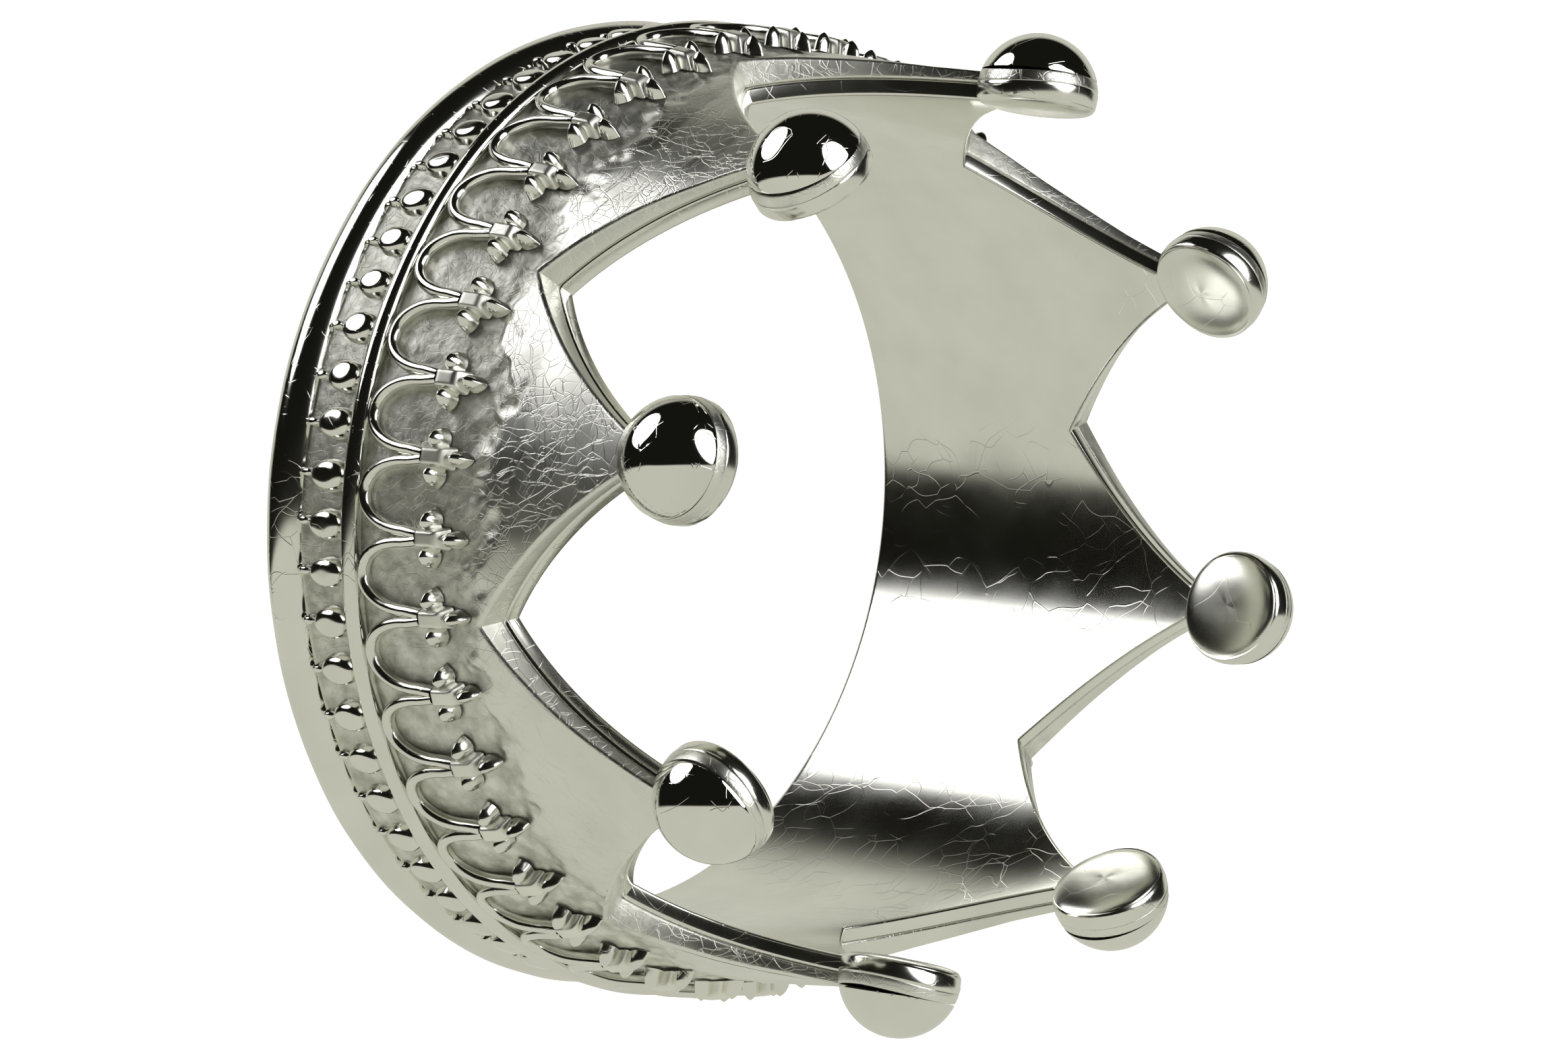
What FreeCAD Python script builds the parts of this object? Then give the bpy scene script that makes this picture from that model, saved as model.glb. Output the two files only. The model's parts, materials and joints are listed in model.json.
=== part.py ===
import FreeCAD, Part
import math
import os

# Crown ring: a finger ring in the form of an eight-point crown, in millimetres.
# The finger hole runs along Z, the ring stands on its base at Z = 0, and the points go up.
# Two soldered layers (a plain liner and a decorated band) carry wires, pellets, fleurons and
# a two-piece finial on each point. Nothing on the object moves.

# ---- driving dimensions -------------------------------------------------------------------
bore_r = 8.65               # finger hole, 17.3 mm across
liner_wall = 0.35           # thickness of the plain inner sleeve
ground_r = 9.86             # outside of the band under the ornament
proud = 0.32                # how far wires and pellets stand above the ground
rim_wire_r = 0.50           # round wire that forms the base edge
divider_wire_r = 0.21       # thinner wire between pellets and arcade
divider_z = 2.51

point_count = 8
# Each point stands a little off its even place, as hand-finished points do (degrees).
point_offset = (2.8, 4.0, 0.6, -1.5, -1.9, -2.2, -0.6, 0.9)
valley_z = 5.40             # bottom of the pointed gap between two points, outside
valley_half = 3.61          # half width of a point at that height
valley_slope = 0.65         # slope of the edge just below the valley
neck_z = 8.85               # where a point runs into its finial
neck_half = 0.43
edge_sag = 0.26             # how hollow the curved edge of a point is

finial_z = 10.02            # centre of the finial
finial_axis_r = 8.85        # distance of the finial's widest section from the ring axis
finial_r = 1.22
finial_back_round = 0.36    # rounded inner edge of the finial

pellet_count = 64
pellet_phase = 0.4          # degrees
pellet_z = 1.76
pellet_r = 0.28
pellet_half_h = 0.41
granule_r = 0.14
granule_z = 1.16

arch_count = 40
arch_phase = -1.35          # degrees, from the even place half way between two points
arch_wire = 0.30            # width of the arch wire
arch_base_z = 2.89          # lowest point of the arch's centre line
arch_spring_z = 4.24        # where neighbouring arches meet under a fleuron
arch_lean = 20.0            # lean of the arch's straight arms (degrees)

boss_w, boss_h = 0.46, 0.62
petal_reach = 0.48          # tip of a side petal, from the fleuron's centre line
tip_petal_w, tip_petal_h = 0.34, 0.42

# ---- values worked out from them ----------------------------------------------------------
seam_r = bore_r + liner_wall
top_z = finial_z + finial_r
arch_pitch = 360.0 / arch_count
pellet_pitch = 360.0 / pellet_count
far = 3.0                   # overshoot of cutting shapes

base_foot_r = 9.35          # outer edge of the band's flat foot, inside the rim wire

# Outside of the band, from the base up: straight under the ornament, then tapering to the points.
ground_profile = (
    (base_foot_r, 0.0),
    (base_foot_r, rim_wire_r),
    (ground_r, rim_wire_r),
    (ground_r, 3.60),
    (9.58, 5.20),
    (9.42, 6.40),
    (9.28, 8.00),
    (9.22, 10.00),
    (9.22, top_z + 0.5),
)

AXIS = FreeCAD.Vector(0, 0, 1)
ORIGIN = FreeCAD.Vector(0, 0, 0)


def vec(x, y, z):
    return FreeCAD.Vector(x, y, z)


def turned(shape, degrees):
    """A copy of the shape, turned about the ring's axis."""
    copy = shape.copy()
    copy.rotate(ORIGIN, AXIS, degrees)
    return copy


def revolved(points):
    """The solid of revolution of a closed outline of (radius, height) points."""
    loop = [vec(r, 0, z) for r, z in points]
    face = Part.Face(Part.makePolygon(loop + [loop[0]]))
    return face.revolve(ORIGIN, AXIS, 360)


def tube(inner, outer, z_low, z_high):
    return revolved([(inner, z_low), (outer, z_low), (outer, z_high), (inner, z_high)])


def ring_wire(radius, height, wire_r):
    return Part.makeTorus(radius, wire_r, vec(0, 0, height), AXIS)


def ground_layer(inner_offset, outer_offset, z_low, z_high):
    """A shell that follows the band's outside, between two offsets from it."""
    inside = [(r + inner_offset, z) for r, z in ground_profile]
    outside = [(r + outer_offset, z) for r, z in ground_profile]
    shell = revolved(outside + inside[::-1])
    return shell.common(tube(1.0, ground_r + far, z_low, z_high))


def relief(outline, height):
    """Stands a flat outline in (tangent, Z) at angle 0 and keeps what lies on the ground."""
    loop = [vec(ground_r - far, s, z) for s, z in outline]
    face = Part.Face(Part.makePolygon(loop + [loop[0]]))
    block = face.extrude(vec(2 * far, 0, 0))
    lows = [z for _, z in outline]
    layer = ground_layer(0.0, height, min(lows) - 0.1, max(lows) + 0.1)
    return block.common(layer)


def ring_of(shape, count, first_degrees):
    """Separate copies of one piece, evenly spaced round the ring."""
    pitch = 360.0 / count
    return [turned(shape, first_degrees + i * pitch) for i in range(count)]


# ---- points and finials -------------------------------------------------------------------
def point_angle(index):
    return index * 360.0 / point_count + point_offset[index]


def point_edge(side):
    """One curved edge of a point, from the valley up to the neck."""
    low = vec(0, side * valley_half, valley_z)
    high = vec(0, side * neck_half, neck_z)
    along = high - low
    hollow = vec(0, -side * along.z, side * along.y).normalize() * edge_sag
    return Part.Arc(low, (low + high) * 0.5 + hollow, high).toShape()


def point_block():
    """The outline of one point as a block along its own radius, at angle 0."""
    skirt_z = valley_z - 1.0
    skirt_half = valley_half + (valley_z - skirt_z) / valley_slope
    right = point_edge(1)
    left = point_edge(-1)
    top = [vec(0, neck_half, neck_z), vec(0, neck_half, finial_z)]
    top += [vec(0, -neck_half, finial_z), vec(0, -neck_half, neck_z)]
    bottom = [vec(0, -valley_half, valley_z), vec(0, -skirt_half, skirt_z)]
    bottom += [vec(0, skirt_half, skirt_z), vec(0, valley_half, valley_z)]
    edges = [right] + Part.makePolygon(top).Edges + [left] + Part.makePolygon(bottom).Edges
    face = Part.Face(Part.Wire(Part.__sortEdges__(edges)))
    face.translate(vec(bore_r - far, 0, 0))
    return face.extrude(vec(2 * far, 0, 0))


def finial():
    """Whole finial at angle 0: a half ball outside, a flat back with a rounded edge inside."""
    half_ball = Part.makeSphere(finial_r, ORIGIN, vec(1, 0, 0), 0, 90, 360)
    flat_r = finial_r - finial_back_round
    button = Part.makeTorus(flat_r, finial_back_round, ORIGIN, vec(-1, 0, 0))
    core = Part.makeCylinder(flat_r, finial_back_round, ORIGIN, vec(-1, 0, 0))
    behind = Part.makeCylinder(2 * finial_r, 2 * finial_r, ORIGIN, vec(-1, 0, 0))
    back = button.common(behind).fuse(core)
    whole = half_ball.fuse(back).removeSplitter()
    whole.translate(vec(finial_axis_r, 0, finial_z))
    return whole


def crown_outline():
    """Everything that lies inside the crown's cut-out silhouette, as one solid."""
    body = tube(1.0, ground_r + far, 0.0, valley_z - 0.6)
    block = point_block()
    tip = finial()
    for index in range(point_count):
        body = body.fuse(turned(block, point_angle(index)))
        body = body.fuse(turned(tip, point_angle(index)))
    return body.removeSplitter()


# ---- the two layers -----------------------------------------------------------------------
def inner_liner(outline):
    return tube(bore_r, seam_r, 0.0, top_z + 0.5).common(outline)


def outer_band(outline, wires):
    inside = [(seam_r, top_z + 0.5), (seam_r, 0.0)]
    layer = revolved(list(ground_profile) + inside)
    return layer.common(outline).cut(wires[0]).cut(wires[1])


# ---- ornament -----------------------------------------------------------------------------
def rim_wire():
    return ring_wire(ground_r + proud - rim_wire_r, rim_wire_r, rim_wire_r)


def divider_wire():
    return ring_wire(ground_r + proud - divider_wire_r, divider_z, divider_wire_r)


def pellet():
    """A domed oval lying on the ground: an upright capsule, sunk into it."""
    axis_r = ground_r + proud - pellet_r
    straight = pellet_half_h - pellet_r
    low = vec(axis_r, 0, pellet_z - straight)
    high = vec(axis_r, 0, pellet_z + straight)
    middle = Part.makeCylinder(pellet_r, 2 * straight, low)
    ends = [Part.makeSphere(pellet_r, low), Part.makeSphere(pellet_r, high)]
    capsule = middle.fuse(ends).removeSplitter()
    return capsule.common(tube(ground_r, ground_r + far, 0, valley_z))


def granule():
    """The small bead between a pellet and the rim wire."""
    bead = Part.makeSphere(granule_r, vec(ground_r, 0, granule_z))
    return bead.common(tube(ground_r, ground_r + far, 0, valley_z)).cut(rim_wire())


def arch():
    """A hanging arch: a round bottom and two leaning arms, in wire of even width."""
    lean = math.radians(arch_lean)
    half_pitch = math.radians(arch_pitch / 2) * ground_r
    rise = arch_spring_z - arch_base_z
    middle_r = (half_pitch * math.cos(lean) - rise * math.sin(lean)) / (1 - math.sin(lean))
    centre = vec(ground_r - far, 0, arch_base_z + middle_r)

    def side(radius, sign):
        start = centre + vec(0, sign * radius * math.cos(lean), -radius * math.sin(lean))
        run = (arch_spring_z - start.z) / math.cos(lean)
        return start, start + vec(0, sign * run * math.sin(lean), run * math.cos(lean))

    outer, inner = middle_r + arch_wire / 2, middle_r - arch_wire / 2
    right_out, right_top_out = side(outer, 1)
    right_in, right_top_in = side(inner, 1)
    left_out, left_top_out = side(outer, -1)
    left_in, left_top_in = side(inner, -1)
    edges = [
        Part.Arc(right_out, centre - vec(0, 0, outer), left_out).toShape(),
        Part.LineSegment(left_out, left_top_out).toShape(),
        Part.LineSegment(left_top_out, left_top_in).toShape(),
        Part.LineSegment(left_top_in, left_in).toShape(),
        Part.Arc(left_in, centre - vec(0, 0, inner), right_in).toShape(),
        Part.LineSegment(right_in, right_top_in).toShape(),
        Part.LineSegment(right_top_in, right_top_out).toShape(),
        Part.LineSegment(right_top_out, right_out).toShape(),
    ]
    block = Part.Face(Part.Wire(edges)).extrude(vec(2 * far, 0, 0))
    layer = ground_layer(0.0, 0.9 * proud, divider_z, valley_z)
    sector = Part.makeCylinder(ground_r + far, valley_z, ORIGIN, AXIS, arch_pitch)
    sector = turned(sector, -arch_pitch / 2)
    return block.common(layer).common(sector).cut(divider_wire())


def boss():
    half = boss_w / 2
    low, high = arch_spring_z, arch_spring_z + boss_h
    return relief([(-half, low), (half, low), (half, high), (-half, high)], 0.9 * proud)


def side_petal(sign):
    low, high = arch_spring_z + 0.04, arch_spring_z + boss_h - 0.04
    tip_z = arch_spring_z + 0.4 * boss_h
    half = sign * boss_w / 2
    outline = [(half, low), (sign * petal_reach, tip_z), (half, high)]
    return relief(outline, 0.7 * proud)


def tip_petal():
    half = tip_petal_w / 2
    low = arch_spring_z + boss_h
    outline = [(-half, low), (half, low), (half, low + 0.6 * tip_petal_h)]
    outline += [(0.0, low + tip_petal_h), (-half, low + 0.6 * tip_petal_h)]
    return relief(outline, 0.7 * proud)


# ---- build and write ----------------------------------------------------------------------
def finial_pieces(index):
    """The finial outside the band and the finial inside the bore, at one point."""
    whole = turned(finial(), point_angle(index))
    band_outside = revolved(list(ground_profile) + [(0.5, top_z + 0.5), (0.5, 0.0)])
    bore = Part.makeCylinder(bore_r, top_z + 0.5)
    return whole.cut(band_outside), whole.common(bore)


def build():
    outline = crown_outline()
    wires = [rim_wire(), divider_wire()]
    first_fleuron = 180.0 / point_count + arch_phase
    first_arch = first_fleuron + arch_pitch / 2
    side_petals = ring_of(side_petal(1), arch_count, first_fleuron)
    side_petals += ring_of(side_petal(-1), arch_count, first_fleuron)
    nodes = {
        "inner_liner": [inner_liner(outline)],
        "outer_band": [outer_band(outline, wires)],
        "base_rim_wire": [wires[0]],
        "divider_wire": [wires[1]],
        "pellets": ring_of(pellet(), pellet_count, pellet_phase),
        "granules": ring_of(granule(), pellet_count, pellet_phase),
        "arcade_arches": ring_of(arch(), arch_count, first_arch),
        "fleuron_bosses": ring_of(boss(), arch_count, first_fleuron),
        "fleuron_side_petals": side_petals,
        "fleuron_tip_petals": ring_of(tip_petal(), arch_count, first_fleuron),
    }
    for index in range(point_count):
        dome, back = finial_pieces(index)
        nodes["finial_dome_%d" % (index + 1)] = [dome]
        nodes["finial_back_%d" % (index + 1)] = [back]
    return nodes


def write(nodes):
    os.makedirs("parts", exist_ok=True)
    for name, shapes in nodes.items():
        solids = [solid for shape in shapes for solid in shape.Solids]
        whole = solids[0] if len(solids) == 1 else Part.makeCompound(solids)
        whole.exportStep("parts/%s.step" % name)
        print(name, len(solids), "solids", round(whole.Volume, 3), "mm3", whole.isValid())


write(build())
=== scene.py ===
import json
import math

import bpy
import numpy as np
from mathutils import Matrix, Vector


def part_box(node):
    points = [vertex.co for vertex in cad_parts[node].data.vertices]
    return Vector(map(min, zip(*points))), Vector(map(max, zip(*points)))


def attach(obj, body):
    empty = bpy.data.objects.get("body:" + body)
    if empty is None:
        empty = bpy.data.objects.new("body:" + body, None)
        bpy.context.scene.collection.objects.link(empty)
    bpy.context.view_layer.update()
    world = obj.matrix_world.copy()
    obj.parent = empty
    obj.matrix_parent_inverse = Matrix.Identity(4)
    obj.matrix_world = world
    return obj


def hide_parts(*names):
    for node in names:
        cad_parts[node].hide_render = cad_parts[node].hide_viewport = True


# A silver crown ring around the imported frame. Lengths in this script are millimetres, in the
# frame's axes, and become metres when a mesh is made.
MM = 0.001

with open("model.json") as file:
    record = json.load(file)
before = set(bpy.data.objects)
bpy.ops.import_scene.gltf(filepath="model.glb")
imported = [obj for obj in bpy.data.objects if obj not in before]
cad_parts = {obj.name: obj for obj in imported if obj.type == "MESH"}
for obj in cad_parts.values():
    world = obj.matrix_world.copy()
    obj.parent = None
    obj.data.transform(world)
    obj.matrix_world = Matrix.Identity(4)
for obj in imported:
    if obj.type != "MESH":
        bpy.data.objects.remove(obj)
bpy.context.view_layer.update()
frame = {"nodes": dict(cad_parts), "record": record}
mounts = {m["name"]: m for m in frame["record"]["mounts"]}


# ---- sizes and places, read from the frame ------------------------------------------------
def node_box(name):
    """Low and high corners of a node, in millimetres."""
    low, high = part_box(name)
    return low / MM, high / MM


def node_angle(name, count=1):
    """Where a node stands round the ring, in radians; for a row of copies, where one stands."""
    places = np.array([v.co[:2] for v in frame["nodes"][name].data.vertices])
    turns = np.exp(1j * count * np.arctan2(places[:, 1], places[:, 0]))
    return float(np.angle(turns.mean())) / count


point_count = sum(name.startswith("finial_dome") for name in frame["nodes"])
bore_r = mounts["finger_bore"]["dims"]["r_mm"]
seam_r = node_box("inner_liner")[1].x
rim_low, rim_high = node_box("base_rim_wire")
outer_r = rim_high.x
rim_wire_r = (rim_high.z - rim_low.z) / 2
divider_low, divider_high = node_box("divider_wire")
divider_wire_r = (divider_high.z - divider_low.z) / 2
divider_z = (divider_high.z + divider_low.z) / 2
top_z = node_box("outer_band")[1].z
point_angles = sorted(node_angle("finial_dome_%d" % (i + 1)) % math.tau for i in range(point_count))

# ---- design sizes shared with the solid model ----------------------------------------------
proud = 0.32                # how far the rim stands out from the ground of the ornament
ground_r = outer_r - proud
finial_r = 1.22
finial_z = top_z - finial_r
finial_axis_r = 8.85        # where a finial is widest
finial_back_round = 0.36    # rounding of its inner edge
tip_outer_r = 9.22          # outside of the band at the top of a point
seam_lip = 0.008            # step where a finial meets the sheet
edge_round = 0.07           # rounding of every cut edge
arc_r = 10.71               # radius of the hollow edge of a point
arc_s, arc_z = 9.70, 14.21  # its centre, beside the point, in (tangent, height)
pellet_count, pellet_z = 64, 1.76
arch_count = 40
pellet_phase = node_angle("pellets", pellet_count)
fleuron_phase = node_angle("fleuron_bosses", arch_count)
arch_spring_z = 4.24        # where neighbouring arches meet under a fleuron
arch_low_z = 2.86           # bottom of an arch
arch_sweep = math.radians(108)      # how far an arch turns to each side of its bottom
boss_h = 0.62

# ---- fineness of the meshes -------------------------------------------------------------------
rounding_steps = 6
band_rows, liner_rows = (110, 60, 22), (40, 60, 22)     # below the valleys, along the edges, tips
weld_mm = 0.0005
noise_rows = 64
sharp_angle = math.radians(50)


def ground_radius(z):
    """Outside of the band: straight under the ornament, then tapering up the points."""
    return np.interp(z, (0.0, 3.4, 4.2, 5.2, 6.4, 8.0, 10.0, 12.0),
                     (ground_r, ground_r, 9.78, 9.58, 9.42, 9.28, tip_outer_r, tip_outer_r))


# ---- repeatable noise ------------------------------------------------------------------------
def fade(t):
    """Eases from 0 to 1."""
    return t * t * (3 - 2 * t)


def ring_noise(seed, angle, z, cells, rows_per_mm):
    """Smooth noise from -1 to 1, seamless round the ring."""
    table = np.random.default_rng(seed).uniform(-1, 1, (cells, noise_rows))
    u = np.mod(angle / math.tau, 1.0) * cells
    v = np.mod(z * rows_per_mm, noise_rows)
    iu, iv = np.floor(u).astype(int), np.floor(v).astype(int)
    fu, fv = fade(u - iu), fade(v - iv)
    iu, iv = iu % cells, iv % noise_rows
    ju, jv = (iu + 1) % cells, (iv + 1) % noise_rows
    low = table[iu, iv] * (1 - fu) + table[ju, iv] * fu
    high = table[iu, jv] * (1 - fu) + table[ju, jv] * fu
    return low * (1 - fv) + high * fv


# ---- mesh building ---------------------------------------------------------------------------
class Builder:
    """Collects vertices and faces of one piece, in millimetres."""

    def __init__(self):
        self.points, self.faces, self.count = [], [], 0

    def grid(self, points, close_u=False, close_v=False, flip=False):
        """Adds rows of points, joined by four-sided faces."""
        rows, cols = points.shape[:2]
        index = np.arange(rows * cols).reshape(rows, cols) + self.count
        if close_v:
            index = np.vstack([index, index[:1]])
        if close_u:
            index = np.hstack([index, index[:, :1]])
        quads = np.stack([index[:-1, :-1], index[:-1, 1:], index[1:, 1:], index[1:, :-1]], -1)
        quads = quads.reshape(-1, 4)
        self.faces.append(quads[:, ::-1] if flip else quads)
        self.points.append(points.reshape(-1, 3))
        self.count += rows * cols

    def mesh(self, name, weld=0.0):
        """Makes the object; points nearer than weld become one."""
        points = np.vstack(self.points) * MM
        faces = np.vstack(self.faces)
        if weld:
            key = np.round(points / (weld * MM)).astype(np.int64)
            _, first, back = np.unique(key, axis=0, return_index=True, return_inverse=True)
            points, faces = points[first], back.reshape(-1)[faces]
        data = bpy.data.meshes.new(name)
        collapsed = (faces == np.roll(faces, -1, 1)).any(1)
        triangles = [list(dict.fromkeys(f)) for f in faces[collapsed]]
        triangles = [f for f in triangles if len(f) > 2]
        data.from_pydata(points.tolist(), [], faces[~collapsed].tolist() + triangles)
        data.validate()
        data.polygons.foreach_set("use_smooth", [True] * len(data.polygons))
        data.set_sharp_from_angle(angle=sharp_angle)
        data.update()
        piece = bpy.data.objects.new(name, data)
        bpy.context.scene.collection.objects.link(piece)
        return piece


def around(radius, angle, z):
    """Points from radius, angle and height."""
    return np.stack([radius * np.cos(angle), radius * np.sin(angle), z + 0 * angle], -1)


def local_to_ring(s, radius, z, centre_angle):
    """A point at tangential offset s on a cylinder, seen square on from centre_angle."""
    along = np.sqrt(np.maximum(radius ** 2 - s ** 2, 0))
    c, n = math.cos(centre_angle), math.sin(centre_angle)
    return np.stack([along * c - s * n, along * n + s * c, z + 0 * s], -1)


# ---- outline of a point ------------------------------------------------------------------------
def tip_radius(radius):
    """Half width of the finial where a cylinder of this radius cuts it."""
    if radius > finial_axis_r:
        return math.sqrt(finial_r ** 2 - (radius - finial_axis_r) ** 2)
    depth = finial_axis_r - radius
    return finial_r - finial_back_round + math.sqrt(finial_back_round ** 2 - depth ** 2)


def edge_half(z, inset):
    """Half width of a point at this height, inset from its edge."""
    return arc_s - np.sqrt((arc_r + inset) ** 2 - (z - arc_z) ** 2)


def valley_height(radius_at, inset, half_angle):
    """Height of the valley at the edge of a point's sector, found by closing in on it."""
    z = 5.4
    for _ in range(6):
        reach = arc_s - float(radius_at(z)) * math.sin(half_angle)
        z = arc_z - math.sqrt((arc_r + inset) ** 2 - reach ** 2)
    return z


def neck_angle(tip_r, inset):
    """Where the hollow edge meets the round tip, as an angle round the tip from its side."""
    low, high = -math.pi / 2 + 0.02, 0.0
    for _ in range(40):
        middle = (low + high) / 2
        z = finial_z + tip_r * math.sin(middle)
        if tip_r * math.cos(middle) < edge_half(z, inset):
            low = middle
        else:
            high = middle
    return (low + high) / 2


def sheet(index, radius_at, inset, u, floor_z, rows, wobble=None):
    """One surface of one point and the stretch of base under it, as rows of points."""
    centre = point_angles[index]
    before = point_angles[index - 1]
    after = point_angles[(index + 1) % point_count]
    left = ((centre - before) % math.tau) / 2
    right = ((after - centre) % math.tau) / 2
    valley_left = valley_height(radius_at, inset, left)
    valley_right = valley_height(radius_at, inset, right)
    side = fade((u + 1) / 2)
    valley = valley_left * (1 - side) + valley_right * side
    half_sin = np.where(u < 0, math.sin(left), math.sin(right))
    at_valley = edge_half(valley, inset) / radius_at(valley)
    tip_r = tip_radius(float(radius_at(finial_z))) - 0.15 * inset
    neck = neck_angle(tip_r, inset)
    neck_z = finial_z + tip_r * math.sin(neck)
    base_rows, edge_rows, tip_rows = rows
    heights, offsets = [], []
    for v in np.linspace(0, 1, base_rows):
        z = floor_z + v * (valley - floor_z)
        blend = v * v
        heights.append(z)
        offsets.append(u * radius_at(z) * ((1 - blend) * half_sin + blend * at_valley))
    for v in np.linspace(0, 1, edge_rows + 1)[1:]:
        z = valley + v * (neck_z - valley)
        heights.append(z)
        offsets.append(u * edge_half(z, inset))
    for angle in np.linspace(neck, math.pi / 2, tip_rows + 1)[1:]:
        heights.append(finial_z + tip_r * math.sin(angle) + 0 * u)
        offsets.append(u * tip_r * math.cos(angle))
    z, s = np.array(heights), np.array(offsets)
    radius = radius_at(z)
    if wobble:
        radius = radius + wobble(centre + np.arcsin(s / radius), z)
    return local_to_ring(s, radius, z, centre)


def rounded_wall(inner, outer_at):
    """(radius function, inset) steps across a cut edge, from the outside in."""
    steps = []
    for turn in np.linspace(0, math.pi / 2, rounding_steps):
        depth, inset = edge_round * (1 - math.cos(turn)), edge_round * (1 - math.sin(turn))
        steps.append((lambda z, depth=depth: outer_at(z) - depth, inset))
    for turn in np.linspace(math.pi / 2, 0, rounding_steps):
        depth, inset = edge_round * (1 - math.cos(turn)), edge_round * (1 - math.sin(turn))
        steps.append((lambda z, depth=depth: inner + depth + 0 * z, inset))
    return steps


def layer(name, inner, outer_at, columns, rows, floors, bottom, wobble=None):
    """A sleeve with points: outside, inside, cut edges and the bottom edge."""
    made = Builder()
    u = np.sin(np.linspace(-math.pi / 2, math.pi / 2, columns))
    u = 0.35 * u + 0.65 * np.linspace(-1, 1, columns)       # columns crowd towards the edges

    def inner_at(z):
        return inner + 0 * z

    for index in range(point_count):
        outside = sheet(index, outer_at, edge_round, u, floors[1], rows, wobble)
        inside = sheet(index, inner_at, edge_round, u, floors[0], rows)
        made.grid(outside)
        made.grid(inside, flip=True)
        steps = rounded_wall(inner, outer_at)
        for end in (-1.0, 1.0):
            lines = [sheet(index, at, inset, np.array([end]), 1.0, rows)[rows[0] - 1:, 0]
                     for at, inset in steps]
            made.grid(np.stack(lines, 1), flip=end > 0)
        foot = []
        for radius, z in bottom:
            line = sheet(index, lambda q, radius=radius: radius + 0 * q, edge_round, u, z,
                         (2, 1, 1))
            foot.append(line[0])
        foot = [inside[0]] + foot + [outside[0]]
        made.grid(np.stack(foot, 0))
    return made.mesh(name, weld=weld_mm)


# ---- the two layers ---------------------------------------------------------------------------
def cast_share(angle, z):
    """How far a place on the band is left as cast (1) or dressed smooth (0)."""
    border = 5.60 + 0.34 * ring_noise(13, angle, z * 0, 60, 1.0)
    border = border + 0.30 * ring_noise(14, angle, z, 130, 2.2)
    border = border + 0.16 * ring_noise(15, angle, z, 300, 5.0)
    below_border = fade(np.clip((border + 0.35 - z) / 0.70, 0, 1))
    return below_border * fade(np.clip((z - 0.95) / 0.15, 0, 1))


def band_wobble(angle, z):
    """Hand finish on the points, and the ragged cast recess round the fleurons."""
    soft = 0.010 * ring_noise(11, angle, z, 40, 0.6) + 0.004 * ring_noise(12, angle, z, 120, 1.8)
    cast = cast_share(angle, z)
    recess = 0.10 * cast * fade(np.clip((z - 3.0) / 1.2, 0, 1))
    lumps = 0.030 * ring_noise(18, angle, z, 220, 3.4) * fade(np.clip((z - 4.3) / 0.6, 0, 1))
    grain = 0.008 * ring_noise(16, angle, z, 500, 8.0) + 0.005 * ring_noise(17, angle, z, 900, 15.0)
    return soft - recess + (lumps + grain) * cast


def make_band():
    """The outer layer; the mesh stores how cast each place is, for its material."""
    bottom = [(seam_r, 0.05), (seam_r + 0.05, 0.0), (seam_r + 0.3, 0.0), (9.45, 0.10), (9.60, 0.30)]
    shell = layer("band_shell", seam_r, ground_radius, 121, band_rows, (0.1, 0.60), bottom,
                  band_wobble)
    places = np.array([v.co[:] for v in shell.data.vertices]) / MM
    share = cast_share(np.arctan2(places[:, 1], places[:, 0]), places[:, 2])
    shell.data.attributes.new("cast", "FLOAT", "POINT").data.foreach_set("value", share)
    return shell


def liner_radius(z):
    return seam_r + 0 * z


def make_liner():
    """The inner layer, with the lower edge of the finger hole rounded."""
    ease = 0.15
    bottom = []
    for turn in np.linspace(0, math.pi / 2, rounding_steps):
        bottom.append((bore_r + ease * (1 - math.cos(turn)), ease * (1 - math.sin(turn))))
    bottom += [(seam_r - 0.05, 0.0)]
    return layer("liner_sleeve", bore_r, liner_radius, 81, liner_rows, (0.2, 0.05), bottom)


# ---- wires -----------------------------------------------------------------------------------
def make_ring_wire(name, wire_r, height, seed, columns=720, sides=28):
    """A round wire all the way round, a little uneven as drawn and soldered wire is."""
    made = Builder()
    angle = np.linspace(0, math.tau, columns, endpoint=False)
    turn = np.linspace(0, math.tau, sides, endpoint=False)
    angle, turn = np.meshgrid(angle, turn, indexing="ij")
    radius = wire_r * (1 + 0.02 * ring_noise(seed, angle, turn, 60, 1.0))
    middle = outer_r - wire_r + 0.008 * ring_noise(seed + 1, angle, 0 * turn, 30, 1.0)
    lift = height + 0.010 * ring_noise(seed + 2, angle, 0 * turn, 36, 1.0)
    reach = middle + radius * np.cos(turn)
    made.grid(around(reach, angle, lift + radius * np.sin(turn)), True, True, flip=True)
    return made.mesh(name)


def arch_line(steps, rng):
    """Centre line of one hanging arch, as (tangent, height), from arm to arm."""
    half = math.pi / arch_count * ground_r - 0.10
    low = arch_low_z + rng.uniform(-0.02, 0.02)
    turn = np.linspace(-1, 1, steps) * arch_sweep
    deep = arch_spring_z + 0.05 - low
    s = half * np.sign(turn) * np.abs(np.sin(np.minimum(np.abs(turn), math.pi / 2))) ** 0.92
    z = low + deep * (1 - np.cos(turn)) / (1 - math.cos(arch_sweep))
    beyond = np.maximum(np.abs(turn) - math.pi / 2, 0)
    return s * (1 + 0.22 * beyond) * rng.uniform(0.98, 1.02), z


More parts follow.
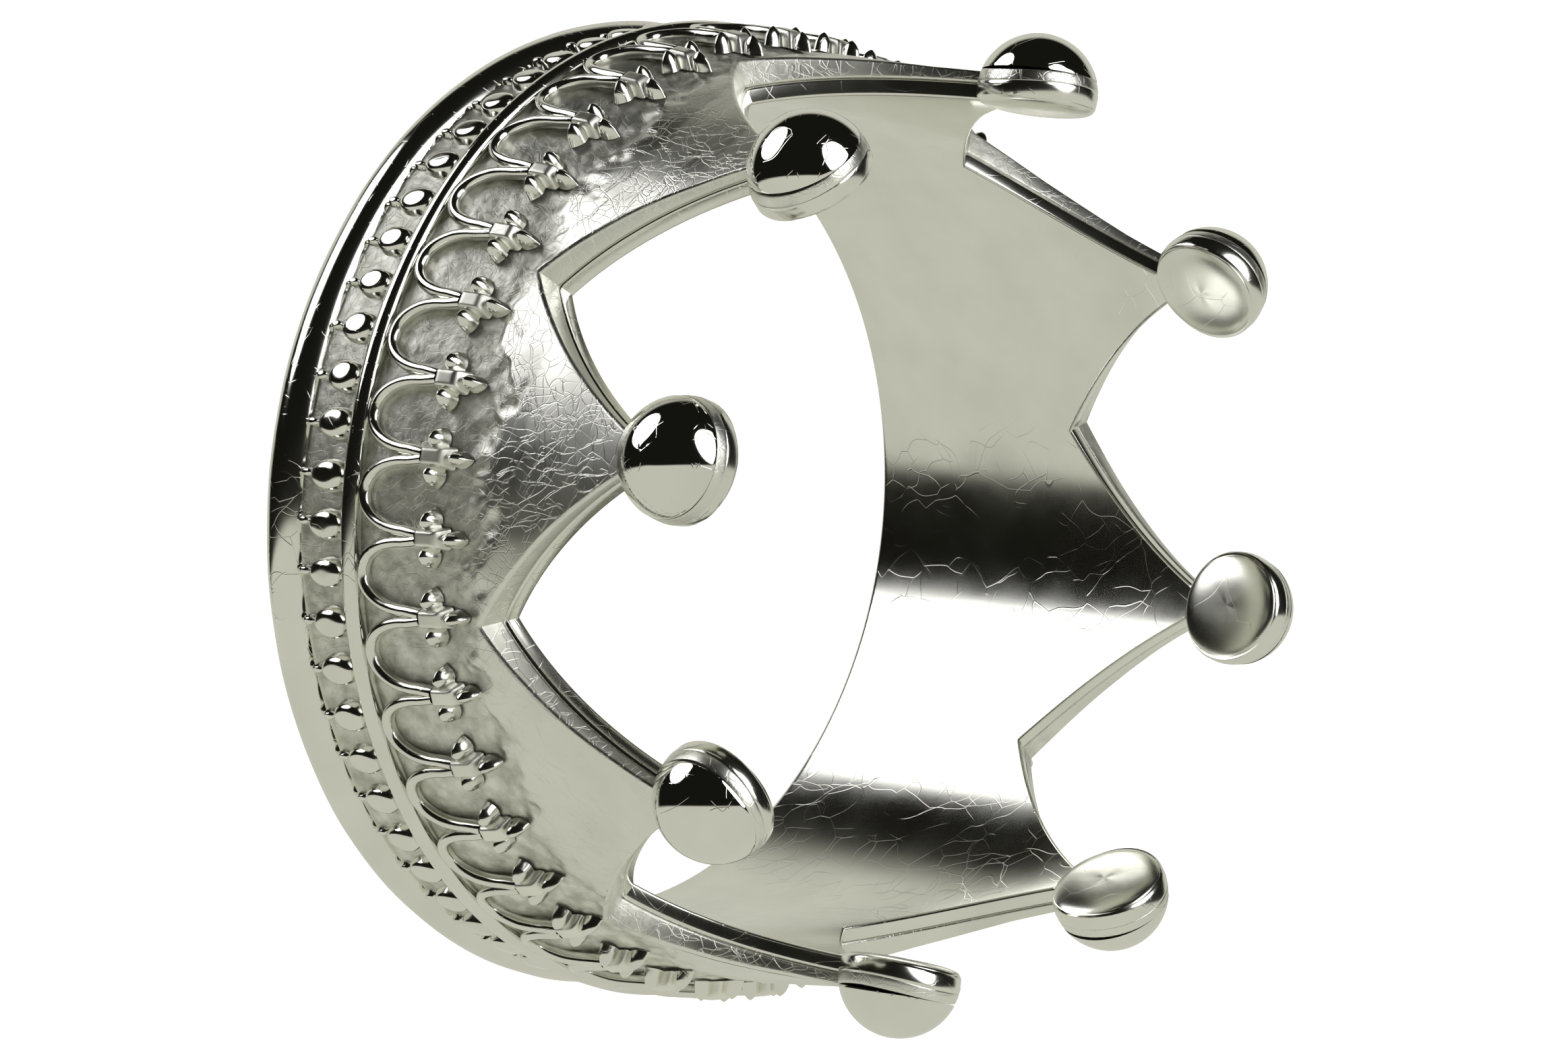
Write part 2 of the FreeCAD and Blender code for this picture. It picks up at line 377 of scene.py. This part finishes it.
def make_arches():
    """Forty wires, each swept along its own arch and half sunk in the ground."""
    made = Builder()
    rng = np.random.default_rng(31)
    sides = 14
    turn = np.linspace(0, math.tau, sides, endpoint=False)
    for index in range(arch_count):
        angle = fleuron_phase + (index + 0.5) * math.tau / arch_count
        s, z = arch_line(49, rng)
        ds, dz = np.gradient(s), np.gradient(z)
        length = np.hypot(ds, dz)
        side_s, side_z = dz / length, -ds / length
        width = 0.12 * (1 + rng.uniform(-0.08, 0.08))
        across = width * np.cos(turn)[None, :]
        height = 0.15 * np.sin(turn)[None, :] + 0.11
        ss = s[:, None] + side_s[:, None] * across
        zz = z[:, None] + side_z[:, None] * across
        made.grid(local_to_ring(ss, ground_radius(zz) + height, zz, angle), close_u=True)
    return made.mesh("arch_wires")


# ---- cast relief -------------------------------------------------------------------------------
def pad(made, outline, peak, crown, height, centre_angle, rings):
    """A raised form on the ground: an outline round a peak, with a height for each ring."""
    outline = np.asarray(outline)
    share = np.concatenate([[1.06], np.linspace(1.0, 0.0, rings)])
    lift = np.concatenate([[-0.05], height * crown(share[1:])])     # the foot is sunk in the ground
    s = peak[0] + share[:, None] * (outline[None, :, 0] - peak[0])
    z = peak[1] + share[:, None] * (outline[None, :, 1] - peak[1])
    made.grid(local_to_ring(s, ground_radius(z) + lift[:, None], z, centre_angle), close_u=True)


def rounded(corners, ease, steps=6):
    """A closed outline through rounded corners."""
    corners = np.array(corners, float)
    points = []
    for here, before, after in zip(corners, np.roll(corners, 1, 0), np.roll(corners, -1, 0)):
        start, end = here + (before - here) * ease, here + (after - here) * ease
        for t in np.linspace(0, 1, steps):
            points.append((1 - t) ** 2 * start + 2 * t * (1 - t) * here + t * t * end)
    return points


def oval(half_w, half_h, middle_z, taper=0.0, steps=28):
    """A closed oval, wider towards the top by its taper."""
    turn = np.linspace(0, math.tau, steps, endpoint=False)
    width = half_w * (1 + taper * np.sin(turn))
    return np.stack([width * np.cos(turn), middle_z + half_h * np.sin(turn)], -1)


def petal(half_w, half_h, point_s, point_z, steps=32):
    """An oval drawn out to a soft point on one side."""
    turn = np.linspace(0, math.tau, steps, endpoint=False)
    toward = point_s * np.cos(turn) + point_z * np.sin(turn)
    pinch = 1 - 0.45 * np.maximum(toward, 0) ** 2
    s = half_w * np.cos(turn) * (pinch if point_z else 1)
    return np.stack([s, half_h * np.sin(turn) * (pinch if point_s else 1)], -1)


# Height of a raised form, from its middle (0) to its outline (1).
def dome(share):
    return np.sqrt(np.maximum(1 - share ** 4.0, 0))


def flat_top(share):
    return 1 - share ** 7


def ridge(share):
    return 0.75 * np.sqrt(np.maximum(1 - share ** 2.2, 0)) + 0.25 * (1 - share)


def make_pellets():
    """The row of upright ovals in the channel."""
    made = Builder()
    rng = np.random.default_rng(41)
    for index in range(pellet_count):
        angle = pellet_phase + index * math.tau / pellet_count
        angle = angle + math.radians(rng.uniform(-0.15, 0.15))
        shape = oval(0.32 * rng.uniform(0.96, 1.04), 0.46 * rng.uniform(0.97, 1.03), pellet_z, 0.08)
        pad(made, shape, (0, pellet_z + 0.03), dome, 0.27 * rng.uniform(0.93, 1.0), angle, rings=14)
    return made.mesh("pellet_row")


def make_granules():
    """The tiny bead between each pellet and the rim wire."""
    made = Builder()
    rng = np.random.default_rng(42)
    for index in range(pellet_count):
        angle = pellet_phase + index * math.tau / pellet_count
        angle = angle + math.radians(rng.uniform(-0.3, 0.3))
        size = rng.uniform(0.85, 1.1)
        pad(made, oval(0.10 * size, 0.16, 1.14), (0, 1.12), dome, 0.16 * size, angle, rings=6)
    return made.mesh("granule_row")


def make_fleurons():
    """Square bosses, each with two side petals and one that points up."""
    bosses, sides, tips = Builder(), Builder(), Builder()
    rng = np.random.default_rng(43)
    low, high = arch_spring_z, arch_spring_z + boss_h
    middle = (low + high) / 2
    for index in range(arch_count):
        angle = fleuron_phase + index * math.tau / arch_count
        angle = angle + math.radians(rng.uniform(-0.2, 0.2))
        half = 0.21 * rng.uniform(0.95, 1.05)
        square = rounded([(-half, low), (half, low), (half, high), (-half, high)], ease=0.15)
        pad(bosses, square, (0, middle), flat_top, 0.30 * rng.uniform(0.92, 1.0), angle, rings=12)
        for sign in (-1, 1):
            middle_s = sign * 0.35 * rng.uniform(0.97, 1.03)
            leaf = petal(0.23, 0.17, sign, 0)
            leaf = leaf + (middle_s, middle - 0.05 + rng.uniform(-0.03, 0.03))
            pad(sides, leaf, leaf.mean(0), ridge, 0.34, angle, rings=12)
        leaf = petal(0.16, 0.24, 0, 1) + (0, high + 0.15 * rng.uniform(0.85, 1.1))
        pad(tips, leaf, leaf.mean(0), ridge, 0.32, angle, rings=12)
    return (bosses.mesh("fleuron_boss_row"), sides.mesh("fleuron_side_row"),
            tips.mesh("fleuron_tip_row"))


# ---- finials ---------------------------------------------------------------------------------
def turned_piece(name, profile, centre_angle, seed, steps=96):
    """Turns (depth, radius) points about the point's own radius."""
    made = Builder()
    depth, radius = np.array(profile).T
    turn = np.linspace(0, math.tau, steps, endpoint=False)
    out, tall = radius[:, None] * np.cos(turn), radius[:, None] * np.sin(turn)
    wave = 0.004 * ring_noise(seed, turn[None, :] + 0 * out, depth[:, None] + 0 * out, 7, 1.3)
    x = depth[:, None] + 0 * out + wave
    c, n = math.cos(centre_angle), math.sin(centre_angle)
    points = np.stack([x * c - out * n, x * n + out * c, finial_z + tall], -1)
    made.grid(points, close_u=True, flip=True)
    return made.mesh(name, weld=0.0002)


def dome_profile():
    """The half ball outside the band."""
    start = math.asin((tip_outer_r - finial_axis_r) / finial_r)
    points = [(tip_outer_r, 0.0), (tip_outer_r, finial_r * math.cos(start) - seam_lip)]
    for turn in np.linspace(start + 0.03, math.pi / 2, 40):
        points.append((finial_axis_r + finial_r * math.sin(turn), finial_r * math.cos(turn)))
    return points


def back_profile():
    """A shallow cushion inside the bore, joined flush to the edge of the point."""
    rise = finial_back_round - (finial_axis_r - bore_r)
    edge = tip_radius(bore_r) - seam_lip
    points = [(bore_r, 0.0)]
    for turn in np.linspace(0, math.pi / 2, 30):
        points.append((bore_r - rise * math.sin(turn) ** 0.8, edge * math.cos(turn) ** 0.7))
    return points


# ---- materials ---------------------------------------------------------------------------------
silver_colour = (0.88, 0.88, 0.82)
boss_colour = (0.95, 0.95, 0.88)
cast_dark, cast_light = (0.60, 0.60, 0.54, 1), (0.93, 0.93, 0.87, 1)
floor_dark, floor_light = (0.58, 0.58, 0.58, 1), (0.62, 0.62, 0.62, 1)
hairline_scale, hairline_half_width = 1000.0, 0.009     # cells per metre; millimetres


class Shader:
    """A small helper that wires value nodes of one material."""

    def __init__(self, name):
        self.material = bpy.data.materials.new(name)
        self.material.use_nodes = True
        self.nodes, self.links = self.material.node_tree.nodes, self.material.node_tree.links
        self.surface = self.nodes["Principled BSDF"]
        self.place = self.nodes.new("ShaderNodeTexCoord").outputs["Object"]

    def feed(self, socket, value):
        """Links another node's output, or sets a constant."""
        if isinstance(value, bpy.types.NodeSocket):
            self.links.new(value, socket)
        else:
            socket.default_value = value

    def math(self, operation, first, second=0.0):
        made = self.nodes.new("ShaderNodeMath")
        made.operation = operation
        self.feed(made.inputs[0], first)
        self.feed(made.inputs[1], second)
        return made.outputs[0]

    def noise(self, scale, detail, shift=0.0):
        made = self.nodes.new("ShaderNodeTexNoise")
        made.noise_dimensions = "4D"
        self.links.new(self.place, made.inputs["Vector"])
        made.inputs["Scale"].default_value = scale
        made.inputs["Detail"].default_value = detail
        made.inputs["W"].default_value = shift
        return made

    def ramp(self, value, low, high, to_low=0.0, to_high=1.0):
        made = self.nodes.new("ShaderNodeMapRange")
        self.feed(made.inputs["Value"], value)
        made.inputs["From Min"].default_value = low
        made.inputs["From Max"].default_value = high
        self.feed(made.inputs["To Min"], to_low)
        self.feed(made.inputs["To Max"], to_high)
        return made.outputs["Result"]

    def blend(self, share, first, second):
        made = self.nodes.new("ShaderNodeMix")
        made.data_type = "RGBA"
        self.feed(made.inputs["Factor"], share)
        self.feed(made.inputs[6], first)
        self.feed(made.inputs[7], second)
        return made.outputs[2]

    def hairlines(self, scale, half_width, seed):
        """Thin curved scratches: bent cell borders, broken up into strokes."""
        bend = self.noise(scale * 0.55, 1.0, seed)
        moved = self.nodes.new("ShaderNodeVectorMath")
        moved.operation = "MULTIPLY_ADD"
        self.feed(moved.inputs[0], bend.outputs["Color"])
        moved.inputs[1].default_value = (1.6 / scale,) * 3
        shifted = self.nodes.new("ShaderNodeVectorMath")
        shifted.operation = "ADD"
        self.feed(shifted.inputs[0], self.place)
        shifted.inputs[1].default_value = (0.031 * seed, 0.017 * seed, -0.023 * seed)
        self.feed(moved.inputs[2], shifted.outputs[0])
        cells = self.nodes.new("ShaderNodeTexVoronoi")
        cells.feature = "DISTANCE_TO_EDGE"
        self.feed(cells.inputs["Vector"], moved.outputs[0])
        cells.inputs["Scale"].default_value = scale
        line = self.ramp(cells.outputs["Distance"], 0.0, half_width * scale * MM, 1.0, 0.0)
        strokes = self.noise(scale * 0.8, 0.0, seed + 5.0).outputs["Fac"]
        return self.math("MULTIPLY", line, self.ramp(strokes, 0.41, 0.47))


def silver(name, colour, roughness, lines, strength, cast=False):
    """Silver with uneven polish and curved hairlines; as cast where the mesh says so."""
    made = Shader(name)
    made.surface.inputs["Metallic"].default_value = 1.0
    tone = made.noise(700.0, 4.0).outputs["Fac"]
    full, dim = (*colour, 1), (*[c * 0.92 for c in colour], 1)
    base = made.blend(made.ramp(tone, 0.3, 0.7), dim, full)
    rough = made.ramp(tone, 0.3, 0.7, roughness * 1.25, roughness * 0.8)
    marks = None
    for index in range(lines):
        scale = hairline_scale + 330.0 * index
        layer_marks = made.hairlines(scale, hairline_half_width, 3.1 * index + 1.0)
        marks = layer_marks if marks is None else made.math("MAXIMUM", marks, layer_marks)
    bump = made.nodes.new("ShaderNodeBump")
    bump.inputs["Strength"].default_value = strength
    bump.inputs["Distance"].default_value = 4e-6
    made.feed(bump.inputs["Height"], made.math("MULTIPLY", marks, -1.0))
    normal = bump.outputs["Normal"]
    if cast:
        stored = made.nodes.new("ShaderNodeAttribute")
        stored.attribute_name = "cast"
        share = stored.outputs["Fac"]
        grain = made.noise(5200.0, 5.0, 2.0).outputs["Fac"]
        patch = made.noise(2600.0, 3.0, 7.0).outputs["Fac"]
        sandy = made.blend(made.ramp(patch, 0.35, 0.65), cast_dark, cast_light)
        base = made.blend(share, base, sandy)
        rough = made.ramp(share, 0.0, 1.0, rough, 0.52)
        skin = made.nodes.new("ShaderNodeBump")
        skin.inputs["Strength"].default_value = 0.8
        skin.inputs["Distance"].default_value = 2.2e-5
        made.feed(skin.inputs["Height"], made.math("MULTIPLY", grain, share))
        made.feed(skin.inputs["Normal"], normal)
        normal = skin.outputs["Normal"]
    made.feed(made.surface.inputs["Base Color"], base)
    made.feed(made.surface.inputs["Roughness"], rough)
    made.feed(made.surface.inputs["Normal"], normal)
    return made.material


materials = {
    "liner_silver": silver("liner_silver", silver_colour, 0.16, 2, 0.25),
    "band_silver": silver("band_silver", silver_colour, 0.31, 6, 0.55, cast=True),
    "wire_silver": silver("wire_silver", silver_colour, 0.12, 2, 0.3),
    "ornament_silver": silver("ornament_silver", silver_colour, 0.15, 1, 0.3),
    "finial_silver": silver("finial_silver", silver_colour, 0.05, 2, 0.3),
    "back_silver": silver("back_silver", silver_colour, 0.22, 1, 0.2),
    "boss_silver": silver("boss_silver", boss_colour, 0.42, 1, 0.5),
}


# ---- pieces into the frame -----------------------------------------------------------------------
def place(piece, slot, stands_for, finish=None):
    """Gives a piece its material and puts it on the body in place of a node."""
    piece.data.materials.append(materials[finish or slot])
    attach(piece, "root")
    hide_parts(stands_for)


place(make_liner(), "liner_silver", "inner_liner")
place(make_band(), "band_silver", "outer_band")
place(make_ring_wire("rim_wire", rim_wire_r, rim_wire_r, 21), "wire_silver", "base_rim_wire")
parting_wire = make_ring_wire("parting_wire", divider_wire_r, divider_z, 25, sides=18)
place(parting_wire, "wire_silver", "divider_wire")
place(make_arches(), "ornament_silver", "arcade_arches")
place(make_pellets(), "ornament_silver", "pellets")
place(make_granules(), "ornament_silver", "granules")
boss_row, side_row, tip_row = make_fleurons()
place(boss_row, "ornament_silver", "fleuron_bosses", "boss_silver")
place(side_row, "ornament_silver", "fleuron_side_petals")
place(tip_row, "ornament_silver", "fleuron_tip_petals")
for number in range(1, point_count + 1):
    angle = node_angle("finial_dome_%d" % number)
    dome_piece = turned_piece("dome_%d" % number, dome_profile(), angle, 60 + number)
    place(dome_piece, "finial_silver", "finial_dome_%d" % number)
    back_piece = turned_piece("back_%d" % number, back_profile(), angle, 80 + number)
    place(back_piece, "finial_silver", "finial_back_%d" % number, "back_silver")


# ---- camera --------------------------------------------------------------------------------------
def view_axes(azimuth, elevation, roll):
    """Right, up and back axes of a camera that looks in from this direction."""
    back = Vector((math.cos(azimuth) * math.cos(elevation), math.sin(azimuth) * math.cos(elevation),
                   math.sin(elevation)))
    right = Vector((0, 0, 1)).cross(back).normalized()
    up = back.cross(right)
    c, n = math.cos(roll), math.sin(roll)
    return right * c + up * n, up * c - right * n, back


camera_axes = view_axes(math.radians(96.1), math.radians(41.6), math.radians(95.3))
camera_right, camera_up, camera_back = camera_axes
camera_target = Vector((-0.31, 0.75, 5.50))
camera_distance = 92.36
camera = bpy.data.objects.new("camera", bpy.data.cameras.new("camera"))
bpy.context.scene.collection.objects.link(camera)
camera.data.lens = 104.2
camera.data.sensor_width = 36.0
camera.data.clip_start = 0.001
camera.data.clip_end = 10.0
camera_place = Matrix.Translation((camera_target + camera_back * camera_distance) * MM)
camera.matrix_world = camera_place @ Matrix(camera_axes).transposed().to_4x4()
bpy.context.scene.camera = camera


# ---- floor and light ---------------------------------------------------------------------------
studio_pale, studio_dark = (0.60, 0.60, 0.53, 1), (0.008, 0.008, 0.006, 1)


def make_floor():
    """A pale, softly glowing floor that the metal doesn't mirror."""
    paint = Shader("pale_floor")
    pale = paint.blend(paint.noise(8.0, 2.0).outputs["Fac"], floor_dark, floor_light)
    paint.feed(paint.surface.inputs["Base Color"], pale)
    paint.surface.inputs["Emission Color"].default_value = (1, 1, 1, 1)
    paint.surface.inputs["Emission Strength"].default_value = 0.95
    paint.surface.inputs["Roughness"].default_value = 0.9
    made = Builder()
    across = np.linspace(-400, 400, 9)
    x, y = np.meshgrid(across, across)
    made.grid(np.stack([x, y, 0 * x - 0.002], -1))
    floor = made.mesh("floor")
    floor.data.materials.append(paint.material)
    floor.visible_glossy = False


def make_world():
    """A dark studio over a pale table, as polished metal sees it; plain white behind."""
    world = bpy.data.worlds.new("studio")
    bpy.context.scene.world = world
    world.use_nodes = True
    nodes, links = world.node_tree.nodes, world.node_tree.links
    nodes.clear()
    direction = nodes.new("ShaderNodeTexCoord").outputs["Generated"]

    def along(axis):
        dot = nodes.new("ShaderNodeVectorMath")
        dot.operation = "DOT_PRODUCT"
        dot.inputs[1].default_value = axis
        links.new(direction, dot.inputs[0])
        return dot.outputs["Value"]

    def step(value, low, high):
        edge = nodes.new("ShaderNodeMapRange")
        edge.inputs["From Min"].default_value = low
        edge.inputs["From Max"].default_value = high
        links.new(value, edge.inputs["Value"])
        return edge.outputs["Result"]

    above = step(along(camera_up), -0.16, -0.12)
    front = step(along(camera_back), -0.68, -0.54)
    dark = nodes.new("ShaderNodeMath")
    dark.operation = "MULTIPLY"
    links.new(above, dark.inputs[0])
    links.new(front, dark.inputs[1])
    mix = nodes.new("ShaderNodeMix")
    mix.data_type = "RGBA"
    mix.inputs[6].default_value = studio_pale
    mix.inputs[7].default_value = studio_dark
    links.new(dark.outputs[0], mix.inputs["Factor"])
    seen = nodes.new("ShaderNodeLightPath").outputs["Is Camera Ray"]
    cut = nodes.new("ShaderNodeMix")
    cut.data_type = "RGBA"
    cut.inputs[7].default_value = (1, 1, 1, 1)
    links.new(mix.outputs[2], cut.inputs[6])
    links.new(seen, cut.inputs["Factor"])
    background = nodes.new("ShaderNodeBackground")
    links.new(cut.outputs[2], background.inputs["Color"])
    output = nodes.new("ShaderNodeOutputWorld")
    links.new(background.outputs[0], output.inputs["Surface"])


def in_camera(right, up, back):
    """A direction given along the camera's right, up and back axes."""
    return (camera_right * right + camera_up * up + camera_back * back).normalized()


def make_softbox(name, way, long_way, length, width, radiance, distance=180.0):
    """A soft oval light; both directions are along the camera's right, up and back axes."""
    light = bpy.data.lights.new(name, "AREA")
    light.shape = "ELLIPSE"
    light.size, light.size_y = length * MM, width * MM
    light.energy = radiance * math.pi * math.pi / 4 * light.size * light.size_y     # by its area
    lamp = bpy.data.objects.new(name, light)
    bpy.context.scene.collection.objects.link(lamp)
    out = in_camera(*way)
    across = out.cross(in_camera(*long_way)).normalized()
    along = across.cross(out)
    turned = Matrix((along, across, out)).transposed().to_4x4()
    lamp.matrix_world = Matrix.Translation((camera_target + out * distance) * MM) @ turned
    lamp.visible_camera = False


make_floor()
make_world()
make_softbox("softbox_left", (-0.76, 0.65, -0.05), (0.54, 0.63, -0.56), 150, 130, 2.6)
make_softbox("softbox_right", (0.70, 0.38, 0.61), (0.6, -0.8, 0.0), 200, 150, 2.4)
bpy.context.scene.view_settings.view_transform = "Standard"
